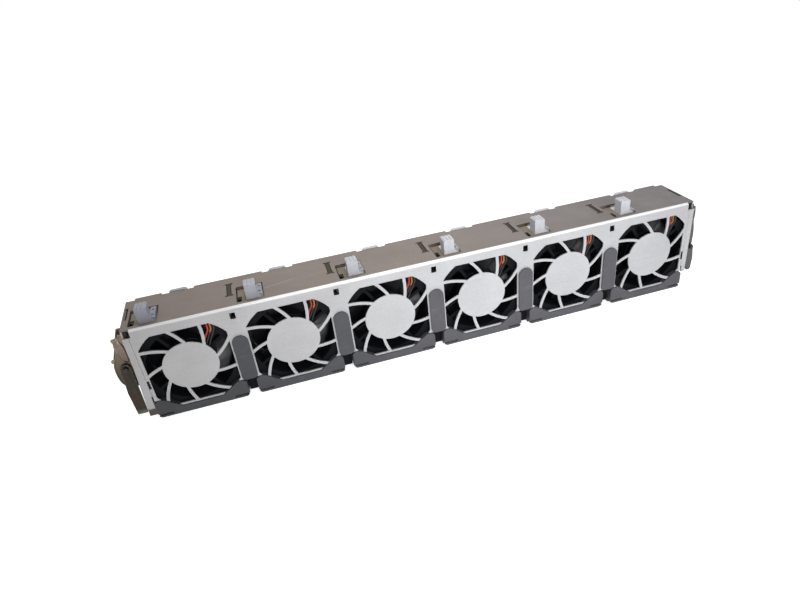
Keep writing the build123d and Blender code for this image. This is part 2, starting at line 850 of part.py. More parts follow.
# Wing: front and back leaf, folded from a base that is riveted to the end plate; the right one is narrow
wing_back = wing_front + sheet
wing_h = wing_top - wing_low
back_leaf_y = wing_front + back_leaf_set
back_leaf_top = shell_h - back_leaf_drop
back_leaf_low = back_leaf_top - back_leaf_h
lever_back = wing_front - lever_gap
lever_front = lever_back - lever_t
knob_back = lever_front - run_gap
pivots = []
for side, reach, lever_out, pivot_z, eye_r, tail_z, tail_round in (
    ("left", wing_reach, lever_u, lever_z, lever_eye_r, lever_low, lever_end),
    ("right", wing_reach_right, lever_u_right, lever_z_right, lever_eye_r_right, lever_low_right, lever_end_right),
):
    lever_x = wing_face + lever_out
    with BuildPart() as wing:
        with BuildSketch(upright(wing_front)):
            with BuildLine():
                rim = Spline(
                    (wing_face + 0.10 * reach, wing_top),
                    (wing_face + 0.26 * reach, wing_low + 0.90 * wing_h),
                    (wing_face + 0.68 * reach, wing_low + 0.63 * wing_h),
                    (wing_face + 0.93 * reach, wing_low + 0.49 * wing_h),
                    (wing_face + reach, wing_low + 0.27 * wing_h),
                    (wing_face + 0.82 * reach, wing_low + 0.07 * wing_h),
                    (wing_face + 0.55 * reach, wing_low),
                )
                Polyline(rim @ 1, (end_outer, wing_low), (end_outer, wing_top), rim @ 0)
            make_face()
            with Locations((lever_x, pivot_z)):
                Circle(pivot_r, mode=Mode.SUBTRACT)
        extrude(amount=-sheet)
        with BuildSketch(upright(back_leaf_y)):
            with BuildLine():
                Polyline(
                    (end_outer, back_leaf_top),
                    (wing_face + 0.23 * reach, back_leaf_top),
                    (wing_face + 0.73 * reach, back_leaf_low + 0.47 * back_leaf_h),
                    (wing_face + reach, back_leaf_low + 0.17 * back_leaf_h),
                    (wing_face + 0.95 * reach, back_leaf_low),
                    (end_outer, back_leaf_low),
                    close=True,
                )
            make_face()
        extrude(amount=-sheet)
        with BuildSketch(Plane.YZ.offset(end_outer)):
            with Locations((wing_front, shell_h - wing_base_drop)):
                Rectangle(wing_base_d, wing_base_h, align=(Align.MIN, Align.MAX))
            with Locations(*[(rivet_y, z) for z in rivet_zs]):
                Circle(rivet_r, mode=Mode.SUBTRACT)
            with Locations(pin_at[0]):
                Circle(collar_r + seat_gap, mode=Mode.SUBTRACT)
        extrude(amount=sheet)
    # Release lever in front of the wing: eye on the pivot, straight tail
    with BuildPart() as lever:
        with BuildSketch(upright(lever_front)):
            with BuildLine():
                Polyline(
                    (lever_x - eye_r, pivot_z),
                    (lever_x - eye_r + lever_waist / 2, (pivot_z + tail_z) / 2),
                    (lever_x - eye_r + lever_waist, tail_z),
                    (lever_x + eye_r + lever_flare - lever_waist, tail_z),
                    (lever_x + eye_r + lever_flare, (pivot_z + tail_z) / 2),
                    (lever_x + eye_r, pivot_z),
                    close=True,
                )
            make_face()
            fillet(vertices().group_by(Axis.Y)[0], radius=tail_round)
            with Locations((lever_x, pivot_z)):
                Circle(eye_r)
                Circle(pivot_r + journal_gap, mode=Mode.SUBTRACT)
        extrude(amount=-lever_t)
    # Pivot of the lever, held in the wing, with a round knob in front
    with BuildPart() as pivot:
        with BuildSketch(upright(knob_back - knob_t)):
            with Locations((lever_x, pivot_z)):
                Circle(knob_r)
        extrude(amount=-knob_t)
        fillet(edges().sort_by(Axis.Y)[0], radius=knob_round)
        with BuildSketch(upright(knob_back)):
            with Locations((lever_x, pivot_z)):
                Circle(pivot_r)
        extrude(amount=knob_back - wing_back)
        with BuildSketch(upright(wing_back)):
            with Locations((lever_x, pivot_z)):
                Circle(knob_r)
        extrude(amount=-rivet_head_t)
    pieces = [wing.part, lever.part, pivot.part]
    if side == "left":
        pieces = [mirror(piece, about=Plane.YZ) for piece in pieces]
    save(pieces[0], f"{side}_wing")
    save(pieces[1], f"{side}_lever")
    pivots.append(pieces[2])

# Guide pins: long ones, and a stub at the front of the right end
low_end = (Align.CENTER, Align.CENTER, Align.MIN)
high_end = (Align.CENTER, Align.CENTER, Align.MAX)
pin_parts = []
for side, (y, z), reach in (
    (-1, pin_at[0], pin_out),
    (-1, pin_at[1], pin_out),
    (1, pin_at[0], pin_stub),
    (1, pin_at[1], pin_out),
):
    outward = (0, 90 * side, 0)
    with BuildPart() as guide_pin:
        with Locations((side * end_outer, y, z)):
            Cylinder(pin_r, reach, rotation=outward, align=low_end)
        chamfer(edges().filter_by(GeomType.CIRCLE).sort_by(Axis.X)[-max(side, 0)], length=pin_chamfer)
        with Locations((side * end_outer, y, z)):
            Cylinder(collar_r, collar_l, rotation=outward, align=low_end)
            Cylinder(pin_r, sheet, rotation=outward, align=high_end)
        with Locations((side * end_x, y, z)):
            Cylinder(rivet_head_r, rivet_head_t, rotation=outward, align=high_end)
    pin_parts.append(guide_pin.part)

# Rivets and rail of the right end
turned = (0, 90, 0)
with BuildPart() as rivets:
    with Locations(*[(wing_face, rivet_y, z) for z in rivet_zs]):
        Cylinder(rivet_head_r, rivet_head_t, rotation=turned, align=low_end)
        Cylinder(rivet_r, 2 * sheet, rotation=turned, align=high_end)
    with Locations(*[(end_x, rivet_y, z) for z in rivet_zs]):
        Cylinder(rivet_head_r, rivet_head_t, rotation=turned, align=high_end)
with BuildPart() as end_rail:
    rail_in = bay_x[-1] + rail_reach
    with Locations((end_x, fan_front + rail_inset, fan_z)):
        Box(
            end_x - rail_in,
            web_back - fan_front - rail_inset,
            rail_t,
            align=(Align.MAX, Align.MIN, Align.CENTER),
        )
    with Locations(*[(end_x, y, fan_z) for y in stud_ys]):
        Cylinder(stud_r, sheet, rotation=turned, align=low_end)
    with Locations(*[(end_outer, y, fan_z) for y in stud_ys]):
        Cylinder(stud_r + stud_head, rivet_head_t, rotation=turned, align=low_end)

# Save every piece in its place
save(front_panel.part, "front_panel")
save(top_panel.part, "top_panel")
save(Compound(children=pivots), "lever_pivots")
save(Compound(children=pin_parts), "guide_pins")
for name, part in (("rivets", rivets.part), ("end_rails", end_rail.part)):
    save(Compound(children=[mirror(part, about=Plane.YZ), part]), name)
for n, x in enumerate(divider_x, start=1):
    save(divider.part.moved(Location((x, 0, 0))), f"divider_{n}")
for n, x in enumerate(bay_x, start=1):
    bay = Location((x, 0, 0))
    for name, part in (
        ("connector", connector.part),
        ("carrier", carrier.part),
        ("housing", housing.part),
        ("latch", latch.part),
    ):
        save(part.moved(bay), f"{name}_{n}")
    for name, group in (
        ("motor", [stator.part, board.part, *bearing_parts]),
        ("impeller", [impeller.part, magnet.part, shaft.part]),
        ("leads", [*lead_parts, contact.part]),
    ):
        save(Compound(children=[part.moved(bay) for part in group]), f"{name}_{n}")
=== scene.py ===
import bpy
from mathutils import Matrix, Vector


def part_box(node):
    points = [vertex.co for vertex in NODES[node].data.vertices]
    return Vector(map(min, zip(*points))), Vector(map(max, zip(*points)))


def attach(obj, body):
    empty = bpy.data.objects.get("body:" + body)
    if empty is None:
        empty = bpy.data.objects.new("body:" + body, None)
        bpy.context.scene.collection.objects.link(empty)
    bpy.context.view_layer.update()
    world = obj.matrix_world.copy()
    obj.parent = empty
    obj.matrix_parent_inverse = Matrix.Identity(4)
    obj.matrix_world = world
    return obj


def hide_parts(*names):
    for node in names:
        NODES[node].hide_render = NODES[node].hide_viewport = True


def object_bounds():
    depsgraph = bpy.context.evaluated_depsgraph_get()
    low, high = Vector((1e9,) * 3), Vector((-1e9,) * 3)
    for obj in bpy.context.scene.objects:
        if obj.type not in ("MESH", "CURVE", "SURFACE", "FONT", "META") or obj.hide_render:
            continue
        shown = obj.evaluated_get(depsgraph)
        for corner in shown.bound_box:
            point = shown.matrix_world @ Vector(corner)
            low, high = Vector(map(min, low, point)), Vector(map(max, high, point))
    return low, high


bl_info = {
    "name": "Server fan bracket",
    "version": (1, 0, 0),
    "blender": (4, 5, 0),
    "location": "View3D > Sidebar > Fan bracket",
    "description": "Finishes the fan bracket: sheet metal, plastics, fans, leads and studio",
    "category": "Object",
}

from math import radians

import bpy
from mathutils import Matrix, Vector

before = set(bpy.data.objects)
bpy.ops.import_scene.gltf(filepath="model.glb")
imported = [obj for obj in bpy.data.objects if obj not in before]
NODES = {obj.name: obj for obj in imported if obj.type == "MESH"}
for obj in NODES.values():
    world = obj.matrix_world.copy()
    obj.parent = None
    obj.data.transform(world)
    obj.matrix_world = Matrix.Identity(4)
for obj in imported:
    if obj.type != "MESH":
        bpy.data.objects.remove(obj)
CAD_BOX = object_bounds()
FANS = range(1, 7)
DIVIDERS = range(1, 6)
SIDES = {"left": -1, "right": 1}


def middle(node):
    """Centre of a CAD node's box."""
    low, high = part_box(node)
    return (low + high) / 2


BAY = {n: middle(f"housing_{n}") for n in FANS}
FAN_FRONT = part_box("housing_1")[0].y
FAN_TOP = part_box("housing_1")[1].z
SHEET_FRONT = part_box("front_panel")[0].y
SHEET_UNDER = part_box("top_panel")[0].z
TOUCH = 0.0001


class SheetLook(bpy.types.PropertyGroup):
    """Zinc-plated sheet, spring steel and turned parts."""

    front: bpy.props.FloatVectorProperty(
        name="Front", description="Zinc on the guard side", subtype="COLOR", default=(0.54, 0.54, 0.55))
    # The top is the same zinc as the front, painted darker as shade on the top face.
    top: bpy.props.FloatVectorProperty(
        name="Top", description="Duller zinc on the top", subtype="COLOR", default=(0.205, 0.170, 0.150))
    ends: bpy.props.FloatVectorProperty(
        name="Ends", description="Zinc on the end plates", subtype="COLOR", default=(0.40, 0.385, 0.36))
    spring: bpy.props.FloatVectorProperty(
        name="Spring steel", description="Wings", subtype="COLOR", default=(0.185, 0.142, 0.118))
    lever: bpy.props.FloatVectorProperty(
        name="Lever steel", description="Release levers", subtype="COLOR", default=(0.030, 0.029, 0.024))
    brass: bpy.props.FloatVectorProperty(
        name="Brass", description="Guide pins", subtype="COLOR", default=(0.28, 0.20, 0.085))
    roughness: bpy.props.FloatProperty(
        name="Roughness", description="Mean roughness of the zinc", subtype="FACTOR", default=0.45)


class PlasticLook(bpy.types.PropertyGroup):
    """Moulded plastics."""

    slate: bpy.props.FloatVectorProperty(
        name="Slate", description="Carriers and dividers", subtype="COLOR", default=(0.080, 0.079, 0.089))
    black: bpy.props.FloatVectorProperty(
        name="Black", description="Fan frames and impellers", subtype="COLOR", default=(0.006, 0.0065, 0.008))
    light: bpy.props.FloatVectorProperty(
        name="Light", description="Towers and thumb tabs", subtype="COLOR", default=(0.60, 0.605, 0.64))
    key: bpy.props.FloatVectorProperty(
        name="Key", description="Keying block beside a tower", subtype="COLOR", default=(0.33, 0.34, 0.36))
    deck: bpy.props.FloatVectorProperty(
        name="Deck", description="Receptacle below the sheet", subtype="COLOR", default=(0.20, 0.165, 0.125))


class FanLook(bpy.types.PropertyGroup):
    """Impeller that is modelled around the CAD shaft."""

    hub_radius: bpy.props.FloatProperty(
        name="Hub radius", description="Outside of the hub cup", unit="LENGTH", default=0.0170)
    tip_radius: bpy.props.FloatProperty(
        name="Tip radius", description="Reach of the blades", unit="LENGTH", default=0.0278)
    blades: bpy.props.IntProperty(name="Blades", description="Blades on the hub", default=7)
    depth: bpy.props.FloatProperty(
        name="Depth", description="Length of a blade along the shaft", unit="LENGTH", default=0.0180)
    wrap: bpy.props.FloatProperty(
        name="Wrap", description="Turn of a blade round the shaft", subtype="ANGLE", default=radians(104))
    thickness: bpy.props.FloatProperty(
        name="Thickness", description="Blade thickness", unit="LENGTH", default=0.0013)


class StageLook(bpy.types.PropertyGroup):
    """Floor, lamps and camera."""

    floor: bpy.props.FloatVectorProperty(
        name="Floor", description="Pale floor", subtype="COLOR", default=(0.90, 0.90, 0.90))
    sky: bpy.props.FloatProperty(name="Sky", description="Strength of the even light", default=0.34)
    lens: bpy.props.FloatProperty(
        name="Lens", description="Focal length on a 36 mm sensor", subtype="DISTANCE_CAMERA", default=27.0)


def deselect():
    """Leaves no object selected."""
    bpy.ops.object.select_all(action="DESELECT")


def pick(piece):
    """Makes one object the only selected and active one."""
    deselect()
    piece.select_set(True)
    bpy.context.view_layer.objects.active = piece


def apply_modifiers(piece):
    """Applies a piece's modifiers in order."""
    pick(piece)
    for modifier in list(piece.modifiers):
        bpy.ops.object.modifier_apply(modifier=modifier.name)


def settle(piece):
    """Puts a piece's place, turn and size into its mesh."""
    pick(piece)
    bpy.ops.object.transform_apply(location=True, rotation=True, scale=True)


def copy_of(piece, name):
    """A copy of a piece with a mesh of its own."""
    twin = piece.copy()
    twin.data = piece.data.copy()
    twin.name = name
    bpy.context.scene.collection.objects.link(twin)
    return twin


def select_faces(piece, test):
    """Edit mode on one piece, with the faces selected that pass the test."""
    pick(piece)
    bpy.ops.object.mode_set(mode="EDIT")
    bpy.ops.mesh.select_mode(type="FACE")
    bpy.ops.mesh.select_all(action="DESELECT")
    bpy.ops.object.mode_set(mode="OBJECT")
    for face in piece.data.polygons:
        face.select = test(face)
    bpy.ops.object.mode_set(mode="EDIT")


def node_group(name, inputs, outputs):
    """A new shader group with its sockets, its input node and its output node."""
    group = bpy.data.node_groups.new(name, "ShaderNodeTree")
    for label, kind, value in inputs:
        socket = group.interface.new_socket(label, in_out="INPUT", socket_type=kind)
        socket.default_value = value
    for label, kind in outputs:
        group.interface.new_socket(label, in_out="OUTPUT", socket_type=kind)
    return group, group.nodes.new("NodeGroupInput"), group.nodes.new("NodeGroupOutput")


def noise(tree, coords, scale, detail=3.0, stretch=(1.0, 1.0, 1.0)):
    """Noise on object coordinates, stretched along the axes."""
    mapping = tree.nodes.new("ShaderNodeMapping")
    mapping.inputs["Scale"].default_value = stretch
    tree.links.new(coords, mapping.inputs["Vector"])
    texture = tree.nodes.new("ShaderNodeTexNoise")
    texture.inputs["Scale"].default_value = scale
    texture.inputs["Detail"].default_value = detail
    tree.links.new(mapping.outputs["Vector"], texture.inputs["Vector"])
    return texture.outputs["Fac"]


def spread(tree, value, low, high, start=0.3, end=0.7):
    """Maps start to end of a value onto low to high."""
    node = tree.nodes.new("ShaderNodeMapRange")
    node.inputs["From Min"].default_value = start
    node.inputs["From Max"].default_value = end
    node.inputs["To Min"].default_value = low
    node.inputs["To Max"].default_value = high
    tree.links.new(value, node.inputs["Value"])
    return node.outputs["Result"]


def scaled(tree, colour, factor):
    """Colour times a grey factor."""
    node = tree.nodes.new("ShaderNodeVectorMath")
    node.operation = "SCALE"
    tree.links.new(colour, node.inputs["Vector"])
    tree.links.new(factor, node.inputs["Scale"])
    return node.outputs["Vector"]


def maths(tree, operation, a, b=None):
    """Math node on one or two values; a plain number is set on the socket."""
    node = tree.nodes.new("ShaderNodeMath")
    node.operation = operation
    for socket, value in zip(node.inputs, (a, b)):
        if isinstance(value, (int, float)):
            socket.default_value = value
        elif value is not None:
            tree.links.new(value, socket)
    return node.outputs["Value"]


def tint(tree, mask, base, colour):
    """Mixes a plain colour over a base where the mask is set."""
    node = tree.nodes.new("ShaderNodeMix")
    node.data_type = "RGBA"
    tree.links.new(mask, node.inputs["Factor"])
    tree.links.new(base, node.inputs["A"])
    node.inputs["B"].default_value = (*colour, 1)
    return node.outputs["Result"]


def zinc_grain_group():
    """Spangle, rolling streaks and handling marks of zinc-plated sheet."""
    group, source, sink = node_group(
        "zinc_grain",
        [("Vector", "NodeSocketVector", (0, 0, 0)), ("Color", "NodeSocketColor", (0.6, 0.6, 0.6, 1)),
         ("Roughness", "NodeSocketFloat", 0.4)],
        [("Color", "NodeSocketColor"), ("Roughness", "NodeSocketFloat"), ("Height", "NodeSocketFloat")],
    )
    at = source.outputs["Vector"]
    cloud = spread(group, noise(group, at, 38.0, 4.0), 0.93, 1.06)
    speckle = spread(group, noise(group, at, 800.0, 2.0), 0.94, 1.05)
    streak = spread(group, noise(group, at, 650.0, 2.0, (0.04, 1.0, 1.0)), 0.97, 1.03)
    tone = maths(group, "MULTIPLY", maths(group, "MULTIPLY", cloud, speckle), streak)
    group.links.new(scaled(group, source.outputs["Color"], tone), sink.inputs["Color"])
    smear = spread(group, noise(group, at, 60.0, 5.0), 0.8, 1.25)
    group.links.new(maths(group, "MULTIPLY", source.outputs["Roughness"], smear), sink.inputs["Roughness"])
    group.links.new(spread(group, noise(group, at, 1500.0, 2.0), 0.0, 1.0), sink.inputs["Height"])
    return group


def moulded_grain_group():
    """Fine eroded grain, faint flow clouds and dust of moulded plastic."""
    group, source, sink = node_group(
        "moulded_grain",
        [("Vector", "NodeSocketVector", (0, 0, 0)), ("Color", "NodeSocketColor", (0.1, 0.1, 0.1, 1)),
         ("Roughness", "NodeSocketFloat", 0.5)],
        [("Color", "NodeSocketColor"), ("Roughness", "NodeSocketFloat"), ("Height", "NodeSocketFloat")],
    )
    at = source.outputs["Vector"]
    cloud = spread(group, noise(group, at, 55.0, 3.0), 0.92, 1.08)
    dust = spread(group, noise(group, at, 420.0, 4.0), 0.95, 1.08)
    tone = maths(group, "MULTIPLY", cloud, dust)
    group.links.new(scaled(group, source.outputs["Color"], tone), sink.inputs["Color"])
    smear = spread(group, noise(group, at, 80.0, 3.0), 0.9, 1.12)
    group.links.new(maths(group, "MULTIPLY", source.outputs["Roughness"], smear), sink.inputs["Roughness"])
    group.links.new(noise(group, at, 2600.0, 2.0), sink.inputs["Height"])
    return group


def edge_wear_sheen_group():
    """Rounded edges that are painted paler, partly rubbed wear and partly a painted highlight."""
    group, source, sink = node_group(
        "edge_wear_sheen",
        [("Vector", "NodeSocketVector", (0, 0, 0)), ("Color", "NodeSocketColor", (0.5, 0.5, 0.5, 1)),
         ("Bare and sheen", "NodeSocketColor", (0.8, 0.8, 0.8, 1)), ("Radius", "NodeSocketFloat", 0.0003)],
        [("Color", "NodeSocketColor"), ("Normal", "NodeSocketVector")],
    )
    rounded = group.nodes.new("ShaderNodeBevel")
    rounded.samples = 4
    group.links.new(source.outputs["Radius"], rounded.inputs["Radius"])
    surface = group.nodes.new("ShaderNodeNewGeometry")
    facing = group.nodes.new("ShaderNodeVectorMath")
    facing.operation = "DOT_PRODUCT"
    group.links.new(rounded.outputs["Normal"], facing.inputs[0])
    group.links.new(surface.outputs["Normal"], facing.inputs[1])
    # Paler colour on rounded edges: partly rubbed wear, partly a painted highlight.
    rub_and_sheen = spread(group, facing.outputs["Value"], 0.9, 0.0, 0.80, 0.99)
    patchy = spread(group, noise(group, source.outputs["Vector"], 240.0, 3.0), 0.35, 1.0)
    mix = group.nodes.new("ShaderNodeMix")
    mix.data_type = "RGBA"
    group.links.new(maths(group, "MULTIPLY", rub_and_sheen, patchy), mix.inputs["Factor"])
    group.links.new(source.outputs["Color"], mix.inputs["A"])
    group.links.new(source.outputs["Bare and sheen"], mix.inputs["B"])
    group.links.new(mix.outputs["Result"], sink.inputs["Color"])
    group.links.new(rounded.outputs["Normal"], sink.inputs["Normal"])
    return group


GROUPS = {"zinc_grain": zinc_grain_group, "moulded_grain": moulded_grain_group, "edge_wear_sheen": edge_wear_sheen_group}


def placed(tree, name):
    """A shared shader group, built on first use, placed in a material."""
    node = tree.nodes.new("ShaderNodeGroup")
    node.node_tree = bpy.data.node_groups.get(name) or GROUPS[name]()
    return node


def finish_of(name, colour, grain, roughness, metallic=0.0, bump=0.05, edge=0.0003, bare_and_sheen=None, marks=(),
              specular=0.5):
    """Material with a grain, fine relief and rounded edges painted paler, partly as rubbed wear and partly as
    a painted highlight.
    """
    material = bpy.data.materials.new(name)
    material.use_nodes = True
    tree = material.node_tree
    surface = tree.nodes["Principled BSDF"]
    surface.inputs["Metallic"].default_value = metallic
    surface.inputs["Specular IOR Level"].default_value = specular
    place = tree.nodes.new("ShaderNodeTexCoord").outputs["Object"]
    texture = placed(tree, grain)
    texture.inputs["Color"].default_value = (*colour, 1)
    texture.inputs["Roughness"].default_value = roughness
    tree.links.new(place, texture.inputs["Vector"])
    tree.links.new(texture.outputs["Roughness"], surface.inputs["Roughness"])
    wear_and_sheen = placed(tree, "edge_wear_sheen")
    wear_and_sheen.inputs["Radius"].default_value = edge
    wear_and_sheen.inputs["Bare and sheen"].default_value = (*(bare_and_sheen or [min(1.0, 1.35 * c + 0.01) for c in colour]), 1)
    tree.links.new(place, wear_and_sheen.inputs["Vector"])
    tone = texture.outputs["Color"]
    for mark in marks:
        tone = mark(tree, place, tone)
    tree.links.new(tone, wear_and_sheen.inputs["Color"])
    tree.links.new(wear_and_sheen.outputs["Color"], surface.inputs["Base Color"])
    relief = tree.nodes.new("ShaderNodeBump")
    relief.inputs["Strength"].default_value = bump
    relief.inputs["Distance"].default_value = 0.0002
    tree.links.new(texture.outputs["Height"], relief.inputs["Height"])
    tree.links.new(wear_and_sheen.outputs["Normal"], relief.inputs["Normal"])
    tree.links.new(relief.outputs["Normal"], surface.inputs["Normal"])
    return material


def along(tree, place, axis):
    """Place along one axis."""
    axes = tree.nodes.new("ShaderNodeSeparateXYZ")
    tree.links.new(place, axes.inputs["Vector"])
    return axes.outputs[axis]


def stroke(tree, place, centre, turn, length, width):
    """Mask of a thin straight mark on the top sheet."""
    mapping = tree.nodes.new("ShaderNodeMapping")
    mapping.vector_type = "TEXTURE"
    mapping.inputs["Location"].default_value = centre
    mapping.inputs["Rotation"].default_value = (0, 0, turn)
    tree.links.new(place, mapping.inputs["Vector"])
    aside = maths(tree, "ABSOLUTE", along(tree, mapping.outputs["Vector"], "Y"))
    ahead = maths(tree, "ABSOLUTE", along(tree, mapping.outputs["Vector"], "X"))
    narrow = spread(tree, aside, 1.0, 0.0, 0.3 * width, width)
    short = spread(tree, ahead, 1.0, 0.0, 0.3 * length, 0.5 * length)
    return maths(tree, "MULTIPLY", narrow, short)


def top_marks(tree, place, tone):
    """Long handling scratches on the top sheet."""
    width = 0.00035
    for centre, turn, length, strength in (
        ((-0.107, -0.0030, 0.073), 0.21, 0.030, 0.55),
        ((-0.083, -0.0012, 0.073), 0.17, 0.040, 0.18),
        ((0.128, 0.0085, 0.073), -0.32, 0.022, 0.15),
    ):
        mask = maths(tree, "MULTIPLY", stroke(tree, place, centre, turn, length, width), strength)
        tone = tint(tree, mask, tone, (0.55, 0.52, 0.50))
    return tone


def bend_highlight(tree, place, tone):
    """Painted highlight along the line where the front sheet was folded over."""
    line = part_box("top_panel")[1].z - 0.0006
    off = maths(tree, "ABSOLUTE", maths(tree, "SUBTRACT", along(tree, place, "Z"), line))
    return tint(tree, spread(tree, off, 0.85, 0.0, 0.0003, 0.0009), tone, (0.95, 0.95, 0.96))


def shade_towards_end(colour, strength, end=CAD_BOX[0].x):
    """Painted shade that deepens towards one end, the left one if none is given, slightly patchy."""
    def mark(tree, place, tone):
        depth = spread(tree, along(tree, place, "X"), strength, 0.0, end, 0.0)
        patchy = spread(tree, noise(tree, place, 30.0, 3.0), 0.85, 1.0)
        return tint(tree, maths(tree, "MULTIPLY", depth, patchy), tone, colour)
    return mark


def deck_gap_shade(tree, place, tone):
    """Painted shade: near-black patches on the deck at the front corner and the left gap of each connector
    window.
    """
    wall, gap_width, corner_width, corner_depth, soft = 0.0010, 0.0008, 0.0034, 0.0085, 0.0003
    corner_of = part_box("connector_1")[0]
    from_left = maths(tree, "SUBTRACT", along(tree, place, "X"), corner_of.x + wall)
    into_bay = tree.nodes.new("ShaderNodeMath")
    into_bay.operation = "WRAP"
    tree.links.new(from_left, into_bay.inputs[0])
    into_bay.inputs[1].default_value = BAY[2].x - BAY[1].x
    into_bay.inputs[2].default_value = 0.0
    from_left = into_bay.outputs["Value"]
    from_front = maths(tree, "SUBTRACT", along(tree, place, "Y"), corner_of.y + wall)
    gap = spread(tree, from_left, 0.9, 0.0, gap_width, gap_width + soft)
    wide = spread(tree, from_left, 1.0, 0.0, corner_width, corner_width + soft)
    deep = spread(tree, from_front, 1.0, 0.0, corner_depth, corner_depth + soft)
    dark = maths(tree, "MAXIMUM", gap, maths(tree, "MULTIPLY", wide, deep))
    return tint(tree, dark, tone, (0.004, 0.004, 0.004))


def foot_tint(tree, place, tone, colour, strength, low, high):
    """Tints the foot of a piece, fading out between two heights."""
    return tint(tree, spread(tree, along(tree, place, "Z"), strength, 0.0, low, high), tone, colour)


def strip_marks(tree, place, tone):
    """Brown foot of an end strip."""
    return foot_tint(tree, place, tone, (0.040, 0.026, 0.018), 0.95, 0.0085, 0.0095)


def wing_lower_shade(tree, place, tone):
    """Painted olive shade on the lower half of a wing."""
    return foot_tint(tree, place, tone, (0.050, 0.047, 0.030), 0.90, 0.040, 0.062)


def lever_marks(tree, place, tone):
    """Brown streaks down a lever and its paler foot."""
    streak = spread(tree, noise(tree, place, 420.0, 2.0, (1.0, 1.0, 0.12)), 0.0, 0.5, 0.45, 0.62)
    tone = tint(tree, streak, tone, (0.060, 0.034, 0.023))
    return foot_tint(tree, place, tone, (0.13, 0.14, 0.12), 0.7, 0.0075, 0.0110)


def lead_foot_shade(tree, place, tone):
    """Painted shade that blacks out the lower end of a lead."""
    return foot_tint(tree, place, tone, (0.010, 0.010, 0.011), 1.0, 0.0570, 0.0580)


def pad_marks(tree, place, tone):
    """Two faint rubbed lines across the middle of each divider pad."""
    for height, strength in ((0.0331, 0.22), (0.0346, 0.30)):
        drop = maths(tree, "ABSOLUTE", maths(tree, "SUBTRACT", along(tree, place, "Z"), height))
        band = spread(tree, drop, strength, 0.0, 0.0001, 0.00035)
        patchy = spread(tree, noise(tree, place, 90.0, 2.0), 0.0, 1.0, 0.45, 0.65)
        tone = tint(tree, maths(tree, "MULTIPLY", band, patchy), tone, (0.40, 0.40, 0.42))
    return tone


def wear(node, *materials):
    """Gives a CAD node its materials."""
    mesh = NODES[node].data
    mesh.materials.clear()
    for material in materials:
        mesh.materials.append(material)
    return mesh


class SheetOperator(bpy.types.Operator):
    """Finish the bent sheet, the end plates, wings, levers, pins and rivets"""

    bl_idname = "fanbracket.sheet"
    bl_label = "Sheet metal"

    def execute(self, context):
        look = context.scene.fan_sheet
        right_end = CAD_BOX[1].x
        # Painted shade: the front darker towards the left end, the top darker towards the left end and cooler
        # and darker towards the right end.
        front_left_shade = shade_towards_end((0.28, 0.265, 0.26), 0.55)
        top_left_shade = shade_towards_end((0.120, 0.086, 0.070), 0.6)
        top_right_cool_shade = shade_towards_end((0.140, 0.132, 0.138), 0.95, right_end)
        # Painted shade: wings and levers greyer and darker towards the right end.
        grey = shade_towards_end((0.11, 0.11, 0.117), 0.9, right_end)
        front = finish_of("zinc_front", look.front, "zinc_grain", look.roughness, metallic=0.25, edge=0.0004,
                          bare_and_sheen=(0.90, 0.90, 0.91), marks=(bend_highlight, front_left_shade))
        wear("front_panel", front)
        # The top gets the darker zinc colour as painted shade, plus real scratches.
        wear("top_panel", finish_of("zinc_top_shaded", look.top, "zinc_grain", look.roughness, metallic=0.3,
                                    bare_and_sheen=(0.42, 0.39, 0.37), marks=(top_marks, top_left_shade, top_right_cool_shade)))
        ends = finish_of("zinc_ends", look.ends, "zinc_grain", look.roughness, metallic=0.4)
        spring = finish_of("wing_steel", look.spring, "zinc_grain", 0.28, metallic=0.9,
                           bare_and_sheen=(0.62, 0.56, 0.48), marks=(wing_lower_shade, grey))
        strip = finish_of("zinc_strip", look.front, "zinc_grain", look.roughness, metallic=0.25,
                          marks=(front_left_shade, strip_marks))
        lever = finish_of("lever_steel", look.lever, "zinc_grain", 0.3, metallic=0.9,
                          bare_and_sheen=(0.45, 0.43, 0.38), marks=(lever_marks, grey))
        dark = finish_of("black_oxide", (0.03, 0.028, 0.026), "zinc_grain", 0.4, metallic=0.6)
        # Painted shade: the end-plate faces inside the sheet slots are near black.
        shade = finish_of("slot_shade_black", (0.012, 0.012, 0.012), "zinc_grain", 0.7, specular=0.1)
        for side in SIDES:
            mesh = wear(f"{side}_end_plate", ends, strip, shade)
            for face in mesh.polygons:
                in_slot = face.center.z > SHEET_UNDER + TOUCH
                face.material_index = 2 if in_slot else int(face.center.y < SHEET_FRONT + 2 * TOUCH)
            wear(f"{side}_wing", spring)
            wear(f"{side}_lever", lever)
        wear("guide_pins", finish_of("turned_brass", look.brass, "zinc_grain", 0.3, metallic=1.0))
        wear("rivets", dark)
        wear("lever_pivots", dark)
        return {"FINISHED"}


